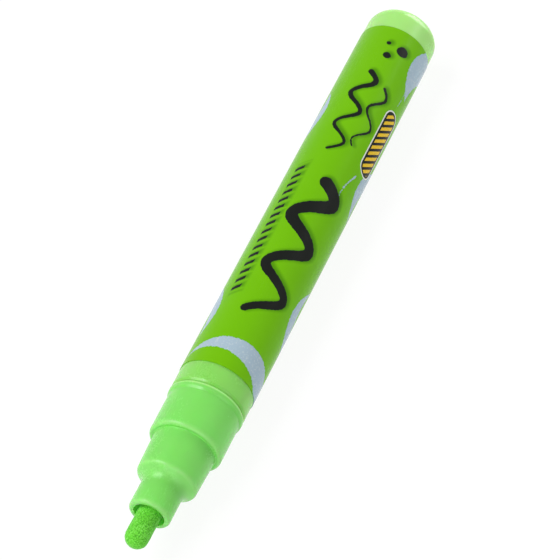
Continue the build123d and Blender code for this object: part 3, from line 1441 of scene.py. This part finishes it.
@dataclass
class Valve(Assembly):
    """The valve in the nose: packing, stem, cage and spring, and the ball in the barrel."""

    packing_round: float = 0.12
    lip_height: float = 0.25
    lip_width: float = 0.5
    lip_round: float = 0.06
    lip_root: float = 0.08
    hole_radius: float = 1.9
    hole_round: float = 0.1
    cup_depth: float = 1.6
    cup_bore: float = 2.22
    cup_radius: float = 2.82
    cup_round: float = 0.12
    bore_round: float = 0.08
    disc_thickness: float = 1.0
    disc_root: float = 0.15
    stem_radius: float = 1.2
    tail_round: float = 0.2
    head_gap: float = 0.05
    head_radius: float = 2.9
    head_thickness: float = 1.2
    head_root: float = 0.12
    head_round: float = 0.3
    seal_round: float = 0.08
    wire_radius: float = 0.2
    wire_columns: int = 20
    turns: int = 5
    turn_rings: int = 64
    travel: float = 1.5
    ball_rings: int = 97
    ball_columns: int = 192
    rubber: Finish = Rubber("packing_rubber")
    natural: Finish = MouldedPlastic(
        "stem_plastic", srgb(226, 226, 220), srgb(214, 214, 206), roughness=0.45, grain=0.4, depth=0.006
    )
    milky: Finish = MouldedPlastic(
        "cage_plastic", srgb(216, 219, 217), srgb(204, 208, 206), roughness=0.42, grain=0.4, depth=0.006
    )
    drawn: Finish = Steel("spring_steel", roughness=0.28, depth=0.003)
    polished: Finish = Steel("ball_steel", roughness=0.12, depth=0.001)

    def build(self) -> None:
        """Build and dress every piece of the valve, and the ball."""
        self._packing()
        self._stem()
        self.keep("valve_cage", self.milky)
        self._spring()
        self._ball()

    def _packing(self) -> None:
        """Turn the rubber ring with its sealing lip."""
        front, lip = span("valve_packing")
        outer = reach("valve_packing")
        rear = lip - self.lip_height
        edge = self.hole_radius + self.lip_width
        corners = [
            (rear, outer, self.packing_round),
            (front, outer, self.packing_round),
            (front, self.hole_radius, self.hole_round),
            (lip, self.hole_radius, self.lip_round),
            (lip, edge, self.lip_round),
            (rear, edge + self.lip_height, self.lip_root),
        ]
        self.add("packing_ring", "valve_packing", Body.BARREL, self.turned(corners), self.rubber)

    def _stem(self) -> None:
        """Turn the stem: cup, disc, shaft, valve head and tail."""
        cup, tail = span("valve_stem")
        disc = cup + self.cup_depth
        shaft = disc + self.disc_thickness
        head = span("valve_packing")[1] + self.head_gap
        back = head + self.head_thickness
        corners = [
            (tail, 0.0),
            (tail, self.stem_radius, self.tail_round),
            (back, self.stem_radius, self.head_root),
            (back, self.head_radius, self.head_round),
            (head, self.head_radius, self.seal_round),
            (head, self.stem_radius, self.head_root),
            (shaft, self.stem_radius, self.disc_root),
            (shaft, self.cup_radius, self.cup_round),
            (cup, self.cup_radius, self.cup_round),
            (cup, self.cup_bore, self.bore_round),
            (disc, self.cup_bore),
            (disc, 0.0),
        ]
        self.add("valve_plunger", "valve_stem", Body.NIB, self.turned(corners), self.natural)

    def _spring(self) -> None:
        """Wind the spring as one tube with ground ends.

        The centre line is (x, R cos t, height + R sin t), and x rises evenly over the turns. Each ring
        lies across the line, on the radial direction and its cross product with the line's direction.
        """
        front, rear = span("valve_spring")
        coil = reach("valve_spring") - self.wire_radius
        rings = self.turns * self.turn_rings + 1
        turn = np.linspace(0.0, 2 * np.pi * self.turns, rings)[:, None]
        x = np.linspace(front + self.wire_radius, rear - self.wire_radius, rings)[:, None]
        pitch = (rear - front - 2 * self.wire_radius) / self.turns
        out = np.concatenate([np.zeros_like(turn), np.cos(turn), np.sin(turn)], axis=1)
        way = np.concatenate([np.zeros_like(turn), -np.sin(turn), np.cos(turn)], axis=1) * coil
        way = unit(way + np.array([[pitch / (2 * np.pi), 0.0, 0.0]]))
        side = np.cross(way, out)
        line = np.concatenate([x, coil * out[:, 1:2], self.height + coil * out[:, 2:3]], axis=1)
        angle = angles(self.wire_columns)[:, :, None]
        ring = np.cos(angle) * out[:, None, :] + np.sin(angle) * side[:, None, :]
        surface = capped(line[:, None, :] + self.wire_radius * ring, line[[0, -1]])
        spring = self.add("coil_spring", "valve_spring", Body.BARREL, surface, self.drawn)
        anchor = (rear * MM, 0.0, self.height * MM)
        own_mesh(spring)

    def _ball(self) -> None:
        """Turn the ball from a half circle between two poles on its own axis."""
        low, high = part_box("mixing_ball")
        radius = (high.x - low.x) / 2 / MM
        middle = (high.x + low.x) / 2 / MM
        height = (high.z + low.z) / 2 / MM
        turn = np.linspace(0.0, np.pi, self.ball_rings)
        profile = np.stack([middle + radius * np.cos(turn), radius * np.sin(turn)], axis=1)
        surface = lathe(profile, height, columns=self.ball_columns)
        self.add("steel_ball", "mixing_ball", Body.BALL, surface, self.polished)


# Studio


@dataclass(frozen=True)
class Lamp:
    """A soft box that looks at the marker, with angles in degrees and sizes in metres."""

    name: str
    azimuth: float
    elevation: float
    distance: float
    width: float
    depth: float
    power: float

    def place(self, target: Vector) -> None:
        """Hang the lamp.

        Args:
            target: Point that it faces.
        """
        light = bpy.data.lights.new(self.name, "AREA")
        light.shape = "RECTANGLE"
        light.size = self.width
        light.size_y = self.depth
        light.energy = self.power
        turn = math.radians(self.azimuth)
        rise = math.radians(self.elevation)
        way = Vector((math.cos(turn) * math.cos(rise), math.sin(turn) * math.cos(rise), math.sin(rise)))
        lamp = bpy.data.objects.new(self.name, light)
        facing = way.to_track_quat("Z", "Y").to_matrix().to_4x4()
        lamp.matrix_world = Matrix.Translation(target + way * self.distance) @ facing
        bpy.context.scene.collection.objects.link(lamp)


@dataclass
class Studio:
    """White floor, white surroundings, soft boxes and the camera. The floor's sizes are in metres."""

    height: float
    lens: float = 165.9
    sensor: float = 36.0
    clip: float = 0.01
    elevation: float = 51.8
    azimuth: float = -67.5
    distance: float = 500.0
    aim_along: float = 15.55
    aim_right: float = 5.86
    aim_down: float = -13.558
    sky: float = 0.1
    seen_by: tuple[str, ...] = ("Is Camera Ray", "Is Glossy Ray", "Is Transmission Ray")
    white: Colour = (1.0, 1.0, 1.0, 1.0)
    floor_half: float = 2.0
    floor_colour: Colour = (0.92, 0.92, 0.92, 1.0)
    floor_glow: float = 1.06
    shadow_from: float = 0.12
    shadow_to: float = 0.5
    shadow_share: float = 0.15
    # Name, azimuth, elevation, distance, width, depth and power
    lamps: tuple[Lamp, ...] = (
        Lamp("key", 100.0, 50.0, 0.9, 0.6, 0.6, 5.1),
        Lamp("spark", 142.0, 54.0, 0.9, 0.2, 0.2, 1.25),
        Lamp("back", -16.0, 16.0, 0.9, 0.65, 0.5, 5.7),
        Lamp("side", -135.0, 30.0, 0.9, 0.6, 0.6, 1.5),
        Lamp("front", 180.0, 18.0, 0.9, 0.6, 0.5, 1.3),
    )

    def build(self) -> None:
        """Set up the floor, the surroundings, the lamps and the camera."""
        self._floor()
        self._surroundings()
        for lamp in self.lamps:
            lamp.place(Vector((0.0, 0.0, self.height * MM)))
        self._camera()
        bpy.context.scene.view_settings.view_transform = "Standard"

    def _seen(self, desk: Desk) -> Field:
        """One for rays from the camera, from gloss and through glass, and nought for the rest."""
        path = desk.node("LightPath")
        return reduce(Field.most, [desk.field(path.outputs[ray]) for ray in self.seen_by])

    def _floor(self) -> None:
        """Lay a wide white floor that keeps a faint shadow."""
        half = self.floor_half
        points = [(-half, -half, 0.0), (half, -half, 0.0), (half, half, 0.0), (-half, half, 0.0)]
        data = bpy.data.meshes.new("floor")
        data.from_pydata(points, [], [(0, 1, 2, 3)])
        material = bpy.data.materials.new("floor_white")
        material.use_nodes = True
        desk = Desk(material.node_tree)
        shader = desk.tree.nodes["Principled BSDF"]
        shader.inputs["Base Color"].default_value = self.floor_colour
        shader.inputs["Roughness"].default_value = 0.9
        shader.inputs["Specular IOR Level"].default_value = 0.1
        glow = desk.node("Emission", Color=self.white, Strength=self.floor_glow)
        place = desk.node("SeparateXYZ", Vector=desk.node("TexCoord").outputs["Object"])
        x, y = (desk.field(socket) for socket in place.outputs[:2])
        near = x.length(y).ramp(self.shadow_from, self.shadow_to).flipped()
        white = self._seen(desk) * (near * self.shadow_share).flipped()
        both = desk.node("MixShader")
        for socket, value in zip(both.inputs, (white, shader.outputs["BSDF"], glow.outputs["Emission"])):
            feed(desk.tree, socket, value)
        feed(desk.tree, desk.tree.nodes["Material Output"].inputs["Surface"], both.outputs[0])
        data.materials.append(material)
        floor = bpy.data.objects.new("floor", data)
        bpy.context.scene.collection.objects.link(floor)

    def _surroundings(self) -> None:
        """Make the surroundings white to look at, and softer as a light."""
        world = bpy.data.worlds.new("surroundings")
        world.use_nodes = True
        desk = Desk(world.node_tree)
        background = desk.tree.nodes["Background"]
        background.inputs["Color"].default_value = self.white
        feed(desk.tree, background.inputs["Strength"], self._seen(desk) * (1.0 - self.sky) + self.sky)
        bpy.context.scene.world = world

    def _camera(self) -> None:
        """Aim the camera so that the aim point falls where the photograph has it."""
        turn = math.radians(90.0 + self.azimuth)
        rise = math.radians(self.elevation)
        level = Vector((math.cos(turn), math.sin(turn), 0.0))
        up_axis = Vector((0.0, 0.0, 1.0))
        forward = level * math.cos(rise) - up_axis * math.sin(rise)
        down = -(level * math.sin(rise) + up_axis * math.cos(rise))
        right = forward.cross(-down)
        aim = Vector((self.aim_along, 0.0, self.height))
        eye = aim - (right * self.aim_right + down * self.aim_down + forward * self.distance)
        pose = Matrix((right, -down, -forward)).transposed().to_4x4()
        pose.translation = eye * MM
        data = bpy.data.cameras.new("camera")
        data.sensor_width = self.sensor
        data.lens = self.lens
        data.clip_start = self.clip
        camera = bpy.data.objects.new("camera", data)
        camera.matrix_world = pose
        bpy.context.scene.collection.objects.link(camera)
        bpy.context.scene.camera = camera


def main() -> None:
    """Build the marker and its studio."""
    logging.basicConfig(level=logging.INFO, format="%(name)s %(message)s")
    low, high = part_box("label_sleeve")
    height = (low.z + high.z) / 2 / MM
    effects = Effects()
    for assembly in (Barrel, Nose, Nib, Valve):
        assembly(effects, height).build()
    Studio(height).build()


if __name__ == "__main__":
    main()
